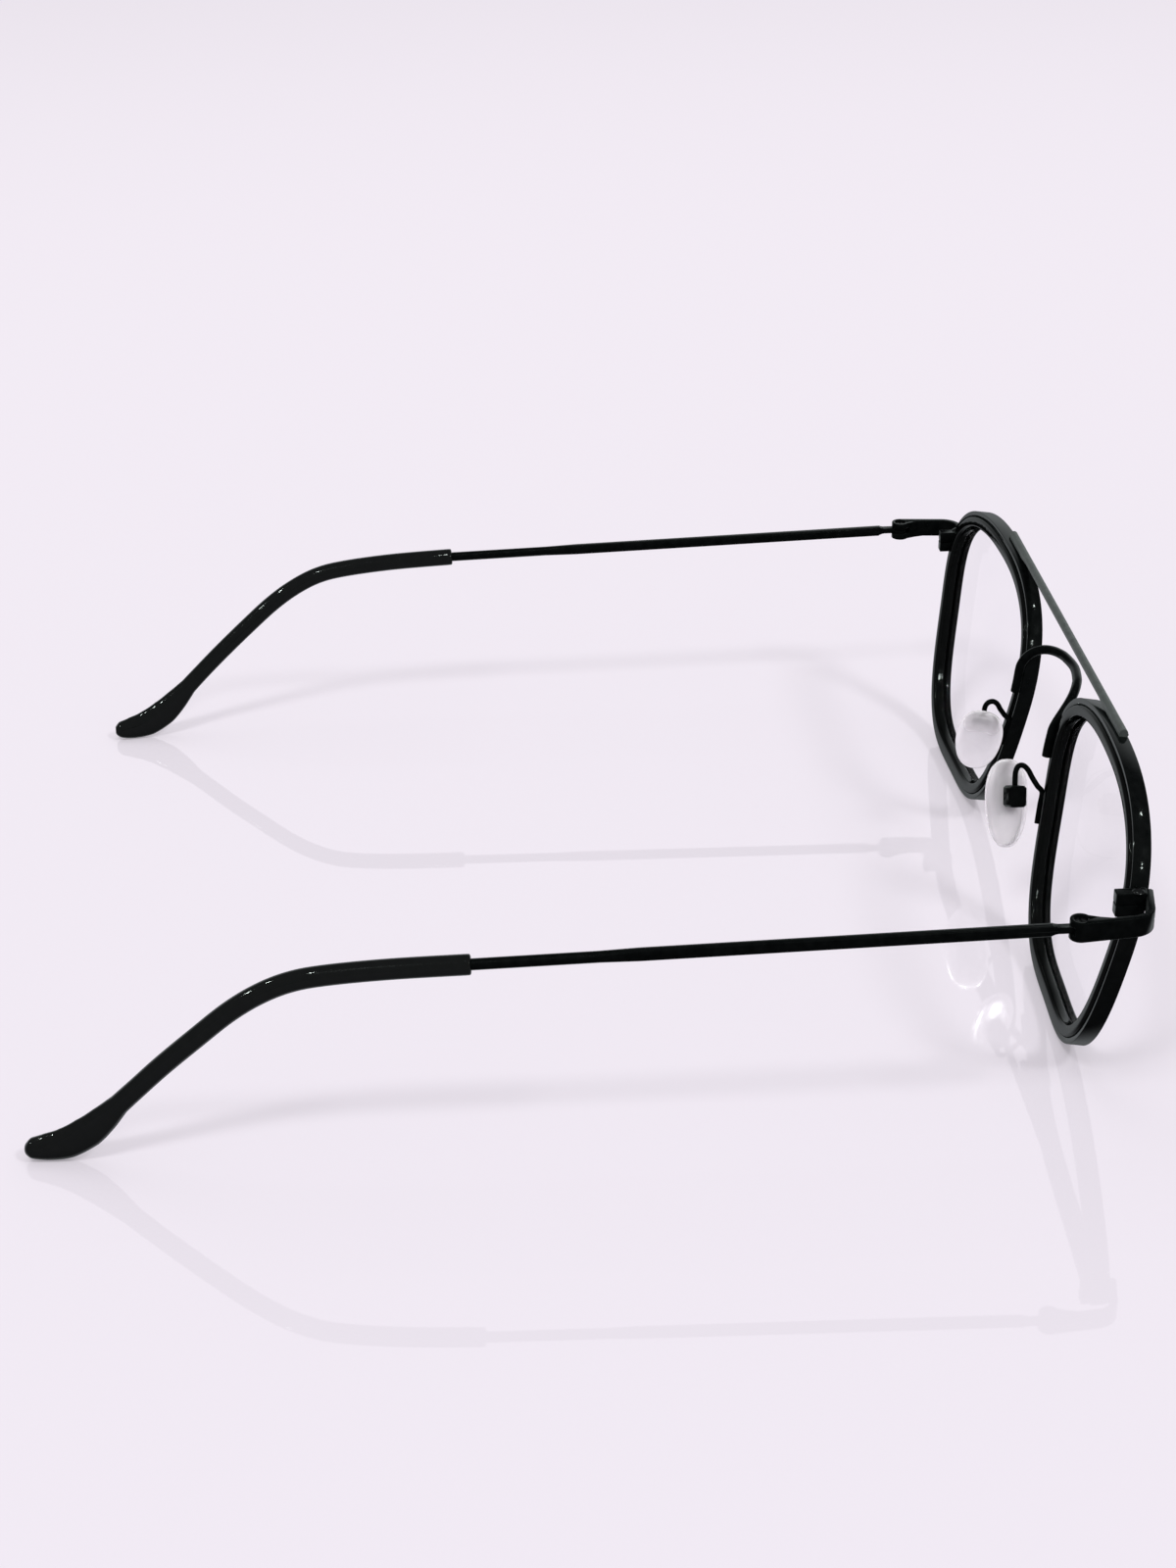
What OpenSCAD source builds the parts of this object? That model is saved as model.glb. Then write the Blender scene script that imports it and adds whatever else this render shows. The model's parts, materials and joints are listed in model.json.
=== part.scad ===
// Double-bridge square eyeglasses, in millimetres, open and standing on a table.
// +Z is up, the front looks along -Y, the temples run towards +Y and +X is the wearer's left.
// Lengths along Y are first measured from the hinge axes; the whole is then centred on its box.

/* [Rims] */
// Distance from the mid plane to a lens's middle
lens_x = 35.8; // [35:0.1:37]
// Half the rim's width at its middle level
rim_half = 24.4; // [23.4:0.1:25]
// Height of the rim above its middle level
rim_up = 20.3; // [18.5:0.1:22]
// Height of the rim below its middle level
rim_down = 21.4; // [20:0.1:23]
// Squareness of the upper half, 2 is an ellipse
top_square = 2.5; // [2.2:0.1:3]
// Squareness of the lower half, 2 is an ellipse
bottom_square = 3.5; // [2.6:0.1:4]
// Widening of the rim with each millimetre of height
flare = 0.0095; // [0.004:0.0005:0.014]
// Forward lean of the rims' tops, in degrees
tilt = 8.8; // [5:0.1:11]
// Backward wrap of the rims' outer sides, in degrees
wrap = 2.2; // [0:0.1:4]
// Radius of the rims' gentle curve from side to side
face_r = 350; // [250:10:600]
// Distance of the rims' back edges in front of the hinge axes, at the middle level
rim_set = 8.1; // [7.8:0.1:8.8]
// Thickness of the metal band round each rim
band_t = 0.9; // [0.7:0.05:1.1]
// Depth of the metal band from front to back
band_depth = 2.4; // [2:0.1:2.6]
// Opening between the band's two ends at the closing block
band_gap = 0.3; // [0.2:0.05:0.5]

/* [Inner rings and lenses] */
// Width of the plastic ring inside the band
ring_w = 1.8; // [1.5:0.1:2.2]
// How far the ring stands out behind the band
ring_back = 0.4; // [0.2:0.05:0.6]
// How far the ring stands out before the band
ring_front = 0.15; // [0.1:0.05:0.3]
// Size of the ring's rounded edges
ring_round = 0.45; // [0.3:0.05:0.6]
// Thickness of the lens
lens_t = 1.4; // [1.2:0.1:1.6]
// Distance of the lens's middle before the ring's middle
lens_fore = 0.5; // [0.3:0.05:0.55]
// Height of the lens's bevel, which sits in the ring's groove
bevel = 0.5; // [0.3:0.05:0.7]
// Width of the bevel at its foot
bevel_w = 0.9; // [0.7:0.1:1.2]

/* [Brow bar and lower bridge] */
// Radius of the straight brow bar
bar_r = 0.6; // [0.5:0.05:0.7]
// Half the length of the brow bar
bar_half = 35.6; // [34:0.1:38]
// Distance of the brow bar behind the band's front edge, at its centre
bar_in = 0.7; // [0.4:0.1:1]
// Depth to which the bar is brazed into the rims' tops
bar_sink = 0.1; // [0.05:0.05:0.15]
// Radius of the lower bridge's wire
bridge_r = 0.7; // [0.6:0.05:0.8]
// Height above the middle level at which the bridge's legs start
leg_low = 4.7; // [3:0.1:6]
// Height above the middle level at which the legs bend forward
leg_high = 8.2; // [7.4:0.1:9]
// Height from there to the top of the arch
arch_rise = 5.3; // [4.5:0.1:6.5]
// Distance by which the arch bulges forward
arch_bulge = 5.5; // [4.5:0.1:6.5]

/* [Nose pads] */
// Height of the oval pad
pad_h = 13; // [12:0.1:14]
// Width of the oval pad
pad_w = 6.9; // [6.5:0.1:7.5]
// Thickness of the pad at its middle
pad_t = 2.2; // [2:0.1:2.6]
// Distance from the mid plane to the pad's middle
pad_x = 10.5; // [10.1:0.1:10.9]
// Distance of the pad's middle in front of the hinge axes
pad_set = 3; // [2.6:0.1:3.4]
// Height of the pad's middle below the rim's middle level
pad_drop = 2.8; // [2.4:0.1:3.2]
// Turn of the pad seen from above, in degrees
pad_turn = 15; // [10:1:20]
// Lean of the pad seen from the front, in degrees
pad_lean = 24; // [20:1:28]
// Radius of the pad arm's wire
arm_r = 0.4; // [0.35:0.05:0.5]
// Width of the pad box
box_w = 2.7; // [2.6:0.1:2.9]
// Height of the pad box
box_h = 3.1; // [2.9:0.1:3.3]
// Depth of the pad box
box_d = 2; // [1.9:0.1:2.2]
// Wall of the pad box
box_wall = 0.5; // [0.4:0.05:0.6]
// Height of the box's middle above the pad's middle
box_up = 1.2; // [0.8:0.1:1.6]
// Gap between the box and the pad's back
box_gap = 0.35; // [0.3:0.05:0.5]
// Distance of the small screw before the box's middle
pin_fore = 0.3; // [0.25:0.05:0.35]
// Radius of the small screw through the box
pad_screw_r = 0.3; // [0.25:0.05:0.35]
// Radius of that screw's head
pad_head_r = 0.51; // [0.45:0.03:0.6]
// Thickness of that head
pad_head_h = 0.25; // [0.2:0.05:0.3]
// Gap on each side of the insert's tab in the box
tab_gap = 0.1; // [0.08:0.01:0.15]
// Gap between the tab's rounded end and the box's back
tab_back = 0.15; // [0.12:0.01:0.2]
// Depth to which the tab and the plate lie in the pad
tab_deep = 0.3; // [0.2:0.05:0.4]
// Thickness of the hard plate moulded into the pad
plate_t = 0.5; // [0.4:0.05:0.6]
// Width of that plate
plate_w = 3.2; // [2.8:0.1:3.6]
// Height of that plate
plate_h = 5.6; // [4.6:0.1:6]

/* [End pieces and hinges] */
// Distance of a hinge axis outside the middle of the rim's band at that height
hinge_out = 6.6; // [6.3:0.1:7]
// Height of the hinge's middle above the rim's middle level
hinge_up = 9.3; // [9:0.1:9.6]
// Radius of the hinge barrel
barrel_r = 1.4; // [1.3:0.05:1.6]
// Height of the end piece's band and barrel
end_h = 2.75; // [2.6:0.05:2.9]
// Thickness of the end piece's band
end_t = 0.9; // [0.8:0.05:1]
// Angle by which the end piece's side leans inwards on its way to the front
side_lean = 6.2; // [5:0.1:7.5]
// Angle by which its front leg leans forward on its way to the rim
leg_lean = 10.5; // [9:0.5:12]
// Distance of the leg's front face before the hinge axis, at the rim
leg_front = 10.75; // [10.65:0.05:10.8]
// Chamfer at the leg's front corner
leg_chamfer = 0.25; // [0.15:0.05:0.35]
// Outer radius of the end piece's bend
end_bend = 3.3; // [2.9:0.1:3.6]
// Distance before the hinge axis at which the band starts to widen into the barrel
root_y = 4; // [3.6:0.1:4.4]
// Height of the slot that takes the temple's tongue
slot_h = 1; // [0.95:0.05:1.1]
// Distance by which that slot is cut beyond the barrel
slot_over = 0.2; // [0.1:0.05:0.3]
// Wall that closes the slot on the outer side
slot_wall = 0.35; // [0.3:0.05:0.4]
// Bare neck between the barrel and the temple's blade
neck_l = 1.45; // [1.2:0.05:1.7]
// Width of that neck
neck_w = 1; // [0.8:0.05:1]
// Radius of the hollow above and below the neck, at the blade's end
scoop_r = 1.2; // [0.9:0.1:1.4]
// Radius of the hinge screw's shank
hinge_screw_r = 0.5; // [0.4:0.05:0.55]
// Radius of the hinge screw's sunk head
hinge_head_r = 0.9; // [0.8:0.05:1]
// Depth of the counterbore above that head
head_sink = 0.3; // [0.2:0.05:0.35]
// Thickness of the hinge screw's head
hinge_head_h = 0.25; // [0.2:0.05:0.3]

/* [Closing blocks] */
// Length of the block from front to back
block_l = 4; // [3.6:0.1:4.2]
// Width of the block, from the middle of the band outwards
block_w = 1.65; // [1.6:0.05:1.8]
// Height of the upper half
block_upper = 1.6; // [1.4:0.1:1.8]
// Height of the lower half
block_lower = 1.6; // [1.4:0.1:1.8]
// Gap between the two halves
block_gap = 0.1; // [0.05:0.05:0.2]
// Radius of the closing screw's shank
closing_r = 0.35; // [0.3:0.05:0.4]
// Radius of the closing screw's domed head
closing_head_r = 0.85; // [0.7:0.05:0.9]
// Height of that head
closing_head_h = 0.45; // [0.35:0.05:0.55]
// Distance of the closing screw outside the block's middle
screw_out = 0.25; // [0.2:0.05:0.3]
// Distance of the closing screw before the block's middle
screw_fore = 0.9; // [0.5:0.1:1]
// Depth by which the upper half is brazed into the end piece's leg
block_sink = 0.05; // [0.02:0.01:0.08]
// Distance by which the lower half's front face stands back from that leg
lower_short = 0.1; // [0.05:0.05:0.2]

/* [Temples] */
// Clearance round each screw that something turns on
turn_gap = 0.05; // [0.03:0.01:0.08]
// Clearance above and below the tongue in its slot
slot_gap = 0.05; // [0.03:0.01:0.08]
// Length of the temple's flat blade
blade_l = 55; // [40:1:60]
// Height of the blade
blade_h = 1.6; // [1.5:0.1:1.8]
// Thickness of the blade
blade_t = 1.1; // [1:0.1:1.3]
// Length over which the blade changes into a round wire
taper_l = 5; // [3:0.5:7]
// Radius of the round wire
wire_r = 0.75; // [0.7:0.05:0.8]
// Distance from the hinge axis to the start of the tip sleeve
sleeve_start = 76; // [70:0.5:80]
// Distance from the hinge axis to the start of the ear bend
ear_start = 86; // [82:0.5:90]
// Length of the ear bend along the temple, as far as the tip
ear_l = 48.3; // [44:0.1:52]
// Distance of the tip's end inside the hinge axis
ear_in = 5.5; // [4.5:0.1:7]
// Radius of the tip sleeve
sleeve_r = 1.35; // [1.25:0.05:1.5]
// Half the greatest width of the sleeve's paddle end
paddle_r = 2.25; // [1.9:0.05:2.6]
// Clearance round the wire inside the sleeve
core_gap = 0.05; // [0.03:0.01:0.08]

/* [Hidden] */
$fn = 32;
rim_steps = 72;
tube_sides = 12;
touch = 0.01;

// Middle of the left rim's back edge plane, before the whole is lifted onto the table
u_dir = [cos(wrap), sin(wrap), 0];
v_dir = [0, -sin(tilt), cos(tilt)];
n_dir = cross(v_dir, u_dir);

function power(a, p) = sign(a) * pow(abs(a), p);

// Point of the rim's outer outline at a polar angle: u towards the temple, v up
function outline(a) =
    let (
        n = sin(a) > 0 ? top_square : bottom_square,
        h = sin(a) > 0 ? rim_up : rim_down,
        r = pow(pow(abs(cos(a)) / rim_half, n) + pow(abs(sin(a)) / h, n), -1 / n),
        v = r * sin(a)
    )
    [r * cos(a) * (1 + flare * v), v];

// The same point moved inwards, square to the outline
function inset(a, d) =
    let (
        e = outline(a + 1) - outline(a - 1),
        k = e / norm(e)
    )
    outline(a) + d * [-k[1], k[0]];

// Outline angle at which the temple side reaches a height above the middle level
function angle_at(v) =
    let (x = rim_half * pow(1 - pow(v / rim_up, top_square), 1 / top_square))
    atan2(v, x);

// A place on the rim in the row's own axes: uv in its plane, back is towards the wearer
function on_rim(uv, back) =
    [lens_x, -rim_set, 0] + uv[0] * u_dir + uv[1] * v_dir
    + (back + (uv[0] * uv[0] + uv[1] * uv[1]) / (2 * face_r)) * n_dir;

rim_low = min([for (a = [180 : 360 / rim_steps : 360]) on_rim(outline(a), -band_depth)[2]]);
mid_z = -rim_low;
function rim_at(uv, back) = on_rim(uv, back) + [0, 0, mid_z];

// Nasal side of the outline at a height above the middle level
function nasal(v) = outline(180 - angle_at(v));

split_v = hinge_up / cos(tilt);
leg_end = lens_x + outline(angle_at(split_v))[0] - band_t / 2;
hinge_x = leg_end + hinge_out;
hinge_z = mid_z + hinge_up;
end_low = hinge_z - end_h / 2;
end_top = hinge_z + end_h / 2;
tongue_h = slot_h - 2 * slot_gap;

// Angles of the rim's cross sections: the band opens at the closing block's gap
first_a = angle_at(split_v + band_gap / 2);
last_a = 360 + angle_at(split_v - band_gap / 2);
step_a = 360 / rim_steps;
rim_angles = concat(
    [first_a],
    [for (a = [ceil(first_a / step_a + 0.1) * step_a : step_a : last_a - step_a / 4]) a],
    [last_a]
);

// A tube skin through a list of equal rings, as triangles
module skin(rings, closed) {
    n = len(rings);
    m = len(rings[0]);
    last = closed ? n - 1 : n - 2;
    sides = [
        for (i = [0 : last], j = [0 : m - 1])
            let (
                a = i * m + j,
                b = i * m + (j + 1) % m,
                c = ((i + 1) % n) * m + (j + 1) % m,
                d = ((i + 1) % n) * m + j
            )
            each [[a, b, c], [a, c, d]]
    ];
    caps = closed ? [] : concat(
        [for (j = [1 : m - 2]) [0, j + 1, j]],
        [for (j = [1 : m - 2]) [(n - 1) * m, (n - 1) * m + j, (n - 1) * m + j + 1]]
    );
    polyhedron([for (r = rings) each r], concat(sides, caps));
}

// Smooth curve through hand-set points, with a few steps between each two
function spline_at(p, i, t) =
    let (
        a = p[max(i - 1, 0)],
        b = p[i],
        c = p[i + 1],
        d = p[min(i + 2, len(p) - 1)]
    )
    0.5 * (2 * b + (c - a) * t + (2 * a - 5 * b + 4 * c - d) * t * t
        + (3 * b - a - 3 * c + d) * t * t * t);
function spline(p, steps) = concat(
    [for (i = [0 : len(p) - 2], k = [0 : steps - 1]) spline_at(p, i, k / steps)],
    [p[len(p) - 1]]
);

// Ring of points round a place, square to a direction; side_dir sets where it starts.
// A corner of 1 gives an ellipse, less gives a rounded rectangle
function ring_at(p, dir, side_dir, ra, rb, sides, corner = 1) =
    let (
        k = dir / norm(dir),
        b = cross(k, side_dir),
        e = b / norm(b),
        s = cross(e, k)
    )
    [
        for (j = [0 : sides - 1])
            let (a = 360 * j / sides)
            p + ra * power(cos(a), corner) * s - rb * power(sin(a), corner) * e
    ];
function dir_at(path, i) = path[min(i + 1, len(path) - 1)] - path[max(i - 1, 0)];

// Round wire along a path
module wire(path, r, side_dir, sides) {
    skin([for (i = [0 : len(path) - 1]) ring_at(path[i], dir_at(path, i), side_dir, r, r, sides)], false);
}

// The right-hand copy of a left-hand piece
module right() {
    mirror([1, 0, 0]) children();
}

// Rims, rings and lenses
ring_in = band_t + ring_w;
ring_rear = ring_back;
ring_fore = -band_depth - ring_front;
lens_mid = (ring_rear + ring_fore) / 2 - lens_fore;

module rim_band() {
    section = [[0, 0], [0, -band_depth], [band_t, -band_depth], [band_t, 0]];
    skin([for (a = rim_angles) [for (p = section) rim_at(inset(a, p[0]), p[1])]], false);
}

module inner_ring() {
    section = [
        [band_t, ring_rear - ring_round / 2],
        [band_t, ring_fore + ring_front],
        [band_t + ring_round, ring_fore],
        [ring_in - ring_round, ring_fore],
        [ring_in, ring_fore + ring_round],
        [ring_in, lens_mid - bevel_w / 2],
        [ring_in - bevel, lens_mid],
        [ring_in, lens_mid + bevel_w / 2],
        [ring_in, ring_rear - ring_round],
        [ring_in - ring_round, ring_rear],
        [band_t + ring_round, ring_rear]
    ];
    skin([for (a = rim_angles) [for (p = section) rim_at(inset(a, p[0]), p[1])]], true);
}

module lens() {
    n = len(rim_angles);
    inner = 0.55;
    edge = [
        [ring_in, -lens_t / 2],
        [ring_in, -bevel_w / 2],
        [ring_in - bevel, 0],
        [ring_in, bevel_w / 2],
        [ring_in, lens_t / 2]
    ];
    rings = concat(
        [[for (a = rim_angles) rim_at(inner * inset(a, ring_in), lens_mid - lens_t / 2)]],
        [for (p = edge) [for (a = rim_angles) rim_at(inset(a, p[0]), lens_mid + p[1])]],
        [[for (a = rim_angles) rim_at(inner * inset(a, ring_in), lens_mid + lens_t / 2)]]
    );
    m = len(rings);
    points = concat([for (r = rings) each r],
        [rim_at([0, 0], lens_mid - lens_t / 2), rim_at([0, 0], lens_mid + lens_t / 2)]);
    sides = [
        for (i = [0 : m - 2], j = [0 : n - 1])
            let (a = i * n + j, b = i * n + (j + 1) % n)
            each [[a, b, b + n], [a, b + n, a + n]]
    ];
    front = [for (j = [0 : n - 1]) [m * n, (j + 1) % n, j]];
    rear = [for (j = [0 : n - 1]) [m * n + 1, (m - 1) * n + j, (m - 1) * n + (j + 1) % n]];
    polyhedron(points, concat(sides, front, rear));
}

// Brow bar, brazed along the tops of both bands
bar_y = rim_at(outline(90), bar_in - band_depth)[1];
bar_z = rim_at(outline(90), bar_in - band_depth)[2] + bar_r - bar_sink;

module brow_bar() {
    color("dimgray") {
        translate([-bar_half, bar_y, bar_z]) rotate([0, 90, 0]) cylinder(h = 2 * bar_half, r = bar_r);
        for (s = [-1, 1]) translate([s * bar_half, bar_y, bar_z]) sphere(r = bar_r);
    }
}

// Lower bridge: each leg lies on the band's back edge and bends forward into the arch
leg_seat = bridge_r - bar_sink;
function leg_at(v) = rim_at(nasal(v) + [band_t / 2, 0], leg_seat);
arch_foot = leg_at(leg_high);
arch_square = 3.2;
bulge_square = 1.8;
function arch_at(a) =
    let (c = power(cos(a), 2 / arch_square))
    [
        arch_foot[0] * c,
        arch_foot[1] - arch_bulge * pow(1 - pow(abs(c), bulge_square), 1 / bulge_square),
        arch_foot[2] + arch_rise * power(sin(a), 2 / arch_square)
    ];
left_half = concat(
    [leg_at(leg_low), leg_at((leg_low + leg_high) / 2)],
    [for (a = [0, 4, 12, 22, 32, 42, 52, 62, 71, 80]) arch_at(a)]
);
bridge_path = concat(
    left_half,
    [arch_at(90)],
    [for (i = [len(left_half) - 1 : -1 : 0]) [-left_half[i][0], left_half[i][1], left_half[i][2]]]
);
bridge_front = arch_foot[1] - arch_bulge - bridge_r;

module lower_bridge() {
    color("dimgray") wire(spline(bridge_path, 2), bridge_r, [0, 1, 0.1], 10);
}

// Nose pads: own axes have X away from the nose, Y back along the pad and Z up along it
pad_mid = [pad_x, -pad_set, mid_z - pad_drop];
box_x = pad_t / 2 + box_gap + box_d / 2;
module pad_place() {
    translate(pad_mid) rotate([tilt, 0, 0]) rotate([0, 0, -pad_turn]) rotate([0, -pad_lean, 0]) children();
}
function pad_point(p) =
    let (
        x = p[0] * cos(pad_lean) - p[2] * sin(pad_lean),
        z = p[0] * sin(pad_lean) + p[2] * cos(pad_lean),
        y = p[1] * cos(pad_turn) - x * sin(pad_turn)
    )
    pad_mid + [
        x * cos(pad_turn) + p[1] * sin(pad_turn),
        y * cos(tilt) - z * sin(tilt),
        y * sin(tilt) + z * cos(tilt)
    ];
pin_x = box_x - pin_fore;
tab_w = box_w - 2 * box_wall - 2 * tab_gap;
tab_end = box_d / 2 + pin_fore - box_wall - tab_back;

module pad_plate() {
    plate_x = pad_t / 2 - plate_t - tab_deep;
    translate([plate_x, -plate_w / 2, box_up - plate_h / 2]) cube([plate_t, plate_w, plate_h]);
}

// Oval with a slightly narrower lower end, thin at its rim
module pad_body() {
    sides = 20;
    levels = [[0.55, -1], [0.88, -0.62], [1, 0], [0.88, 0.62], [0.55, 1]];
    rings = [
        for (q = levels) [
            for (j = [0 : sides - 1])
                let (c = cos(360 * j / sides), s = sin(360 * j / sides))
                [
                    -q[1] * pad_t / 2,
                    q[0] * pad_w / 2 * power(c, 0.85) * (1 + 0.1 * s),
                    q[0] * pad_h / 2 * power(s, 0.9)
                ]
        ]
    ];
    skin(rings, false);
}

module nose_pad() {
    difference() {
        pad_place() pad_body();
        pad_place() pad_plate();
        pad_place() translate([pad_t / 2 - tab_deep - touch, -tab_w / 2, box_up - tab_end])
            cube([1, tab_w, 2 * tab_end]);
    }
}

module pad_insert() {
    pad_place() difference() {
        union() {
            pad_plate();
            translate([pad_t / 2 - tab_deep - touch, -tab_w / 2, box_up - tab_end])
                cube([pin_x - pad_t / 2 + tab_deep, tab_w, 2 * tab_end]);
            translate([pin_x, 0, box_up]) rotate([90, 0, 0]) cylinder(h = tab_w, r = tab_end, center = true);
        }
        translate([pin_x, 0, box_up]) rotate([90, 0, 0])
            cylinder(h = 2 * tab_w, r = pad_screw_r + turn_gap, center = true);
    }
}

// Box with rounded corners, open towards the pad and closed at its back
module pad_box() {
    pad_place() translate([box_x, 0, box_up]) difference() {
        intersection() {
            cube([box_d, box_w, box_h], center = true);
            rotate([0, 90, 0]) cylinder(h = 2 * box_d, r = 0.44 * norm([box_w, box_h]), center = true);
        }
        translate([-box_d, box_wall - box_w / 2, box_wall - box_h / 2])
            cube([1.5 * box_d - box_wall, box_w - 2 * box_wall, box_h - 2 * box_wall]);
        translate([-pin_fore, 0, 0]) rotate([90, 0, 0])
            cylinder(h = 2 * box_w, r = pad_screw_r, center = true);
    }
}

module pad_screw() {
    pad_place() translate([pin_x, 0, box_up]) rotate([90, 0, 0]) {
        translate([0, 0, -box_w / 2]) cylinder(h = box_w, r = pad_screw_r);
        translate([0, 0, box_w / 2]) cylinder(h = pad_head_h, r = pad_head_r);
    }
}

// Pad arm: brazed down the band's back edge, up over a small loop and down to the box
arm_seat = arm_r - bar_sink / 2;
function arm_leg(a) = rim_at(outline(180 - a) + [band_t / 2, 0], arm_seat);
box_top = pad_point([box_x, 0, box_up + box_h / 2]);
arm_points = [
    arm_leg(-12),
    arm_leg(-6),
    arm_leg(-1.5),
    box_top + [0.4, -3.2, 0],
    box_top + [-0.1, -2.5, 1.1],
    box_top + [-0.5, -1.9, 2.2],
    box_top + [-0.8, -1.2, 2.8],
    box_top + [-0.8, -0.5, 2.7],
    box_top + [-0.5, -0.1, 2],
    box_top + [-0.2, 0, 1],
    box_top - [0, 0, 2 * bar_sink]
];

module pad_arm() {
    wire(spline(arm_points, 4), arm_r, [1, 0, 0.1], 8);
}

// End piece: a flat band bent round the corner, with the hinge barrel at its back. The band's
// outer face is tangent to the barrel and closes the tongue's slot on that side. Its outline is
// drawn from above as one line, with the hinge axis as its origin
slot_x = barrel_r - slot_wall;
barrel_steps = 40;
barrel_turn = 240;
bend_steps = 12;
bend_turn = 90 - side_lean - leg_lean;
leg_out = [sin(leg_lean), -cos(leg_lean)];
leg_reach = [-hinge_out, -leg_front] * leg_out;
bend_mid = [
    (barrel_r - end_bend) * cos(leg_lean) - (leg_reach - end_bend) * sin(side_lean),
    (barrel_r - end_bend) * sin(leg_lean) - (leg_reach - end_bend) * cos(side_lean)
] / cos(side_lean + leg_lean);
function bend_arc(r) = [
    for (k = [0 : bend_steps])
        let (a = -side_lean - bend_turn * k / bend_steps)
        bend_mid + r * [cos(a), sin(a)]
];

// Back face of the front leg at a distance from the mid plane
function leg_back(x) = -leg_front + end_t / cos(leg_lean) + tan(leg_lean) * (x - leg_end);

module end_profile() {
    inner = bend_arc(end_bend - end_t);
    polygon(concat(
        [
            for (k = [barrel_steps : -1 : 0])
                let (a = -side_lean + barrel_turn * k / barrel_steps)
                barrel_r * [cos(a), sin(a)]
        ],
        bend_arc(end_bend),
        [
            [-hinge_out + leg_chamfer, -leg_front + leg_chamfer * tan(leg_lean)],
            [-hinge_out, -leg_front + leg_chamfer],
            [-hinge_out, leg_back(leg_end)]
        ],
        [for (k = [bend_steps : -1 : 0]) inner[k]],
        [
            [(barrel_r - end_t - sin(side_lean) * root_y) / cos(side_lean), -root_y],
            [-0.2 * barrel_r, -1.8 * barrel_r]
        ]
    ));
}

module end_piece() {
    slot_r = barrel_r + slot_over;
    difference() {
        translate([hinge_x, 0, end_low]) linear_extrude(height = end_h) end_profile();
        translate([hinge_x, 0, hinge_z - slot_h / 2]) linear_extrude(height = slot_h) intersection() {
            circle(r = slot_r);
            translate([slot_x - 2 * slot_r, -slot_r]) square(2 * slot_r);
        }
        translate([hinge_x, 0, end_low - 1]) cylinder(h = end_h + 2, r = hinge_screw_r);
        translate([hinge_x, 0, end_top - head_sink - hinge_head_h])
            cylinder(h = head_sink + hinge_head_h + 1, r = hinge_head_r);
    }
}

module hinge_screw() {
    head_low = end_top - head_sink - hinge_head_h;
    difference() {
        union() {
            translate([hinge_x, 0, end_low]) cylinder(h = head_low - end_low + touch, r = hinge_screw_r);
            translate([hinge_x, 0, head_low]) cylinder(h = hinge_head_h, r = hinge_head_r);
        }
        translate([hinge_x - 1, -0.1, head_low + hinge_head_h / 2]) cube([2, 0.2, 1]);
    }
}

// Closing block: two halves brazed to the band's ends and drawn together by a screw
block_x = leg_end;
block_back = leg_back(block_x + block_w / 2) + block_l;
screw_x = block_x + block_w / 2 + screw_out;
screw_y = block_back - block_l / 2 - screw_fore;
upper_low = hinge_z + block_gap / 2;
lower_top = hinge_z - block_gap / 2;

module block_half(z0, z1, front_gap, bore_r) {
    far_x = block_x + block_w;
    difference() {
        translate([0, 0, z0]) linear_extrude(height = z1 - z0) polygon([
            [block_x, leg_back(block_x) + front_gap],
            [far_x, leg_back(far_x) + front_gap],
            [far_x, block_back],
            [block_x, block_back]
        ]);
        translate([screw_x, screw_y, z0 - 1]) cylinder(h = z1 - z0 + 2, r = bore_r);
    }
}

module upper_block() {
    block_half(upper_low, upper_low + block_upper, -block_sink, closing_r + turn_gap);
}

module lower_block() {
    block_half(lower_top - block_lower, lower_top, lower_short, closing_r);
}

module closing_screw() {
    head_low = upper_low + block_upper;
    ball_r = (closing_head_r * closing_head_r + closing_head_h * closing_head_h) / (2 * closing_head_h);
    translate([screw_x, screw_y, lower_top - block_lower])
        cylinder(h = head_low - lower_top + block_lower, r = closing_r);
    intersection() {
        translate([screw_x, screw_y, head_low + closing_head_h - ball_r]) sphere(r = ball_r);
        translate([screw_x, screw_y, head_low]) cylinder(h = 2 * closing_head_h, r = 2 * closing_head_r);
    }
}

// Temple: tongue, blade and round wire, then the curved core inside the sleeve.
// The ear bend is drawn by hand as distances inwards from the hinge, back from the
// bend's start and down from the hinge, and then stretched to its named sizes
blade_start = barrel_r + neck_l;
slope = 0.0215;
lean_in = 0.0085;
function along(y) = [hinge_x - lean_in * y, y, hinge_z - slope * y];
ear_drawn = [
    [1, 0, 2],
    [1.4, 8, 2.7],
    [1.7, 12.5, 3.6],
    [2.1, 16.5, 5.4],
    [2.5, 20.5, 8.1],
    [2.9, 25, 12],
    [3.4, 29.5, 16.1],
    [3.7, 33, 19.5],
    [4, 35.5, 22],
    [4.3, 37.7, 24.3],
    [4.6, 40, 26.4],
    [4.9, 42.8, 28.1],
    [5.2, 45.5, 28.8],
    [5.4, 47.5, 29],
    [5.5, 48.3, 29]
];
// Half widths of the sleeve at its start and at those points, as parts of the paddle's bulge
bulge = [0, 0, 0, 0, 0, 0, 0, 0, 0, 0.05, 0.6, 1, 1, 0.6, 0, -0.9];
ear_end = ear_drawn[len(ear_drawn) - 1];
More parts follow.
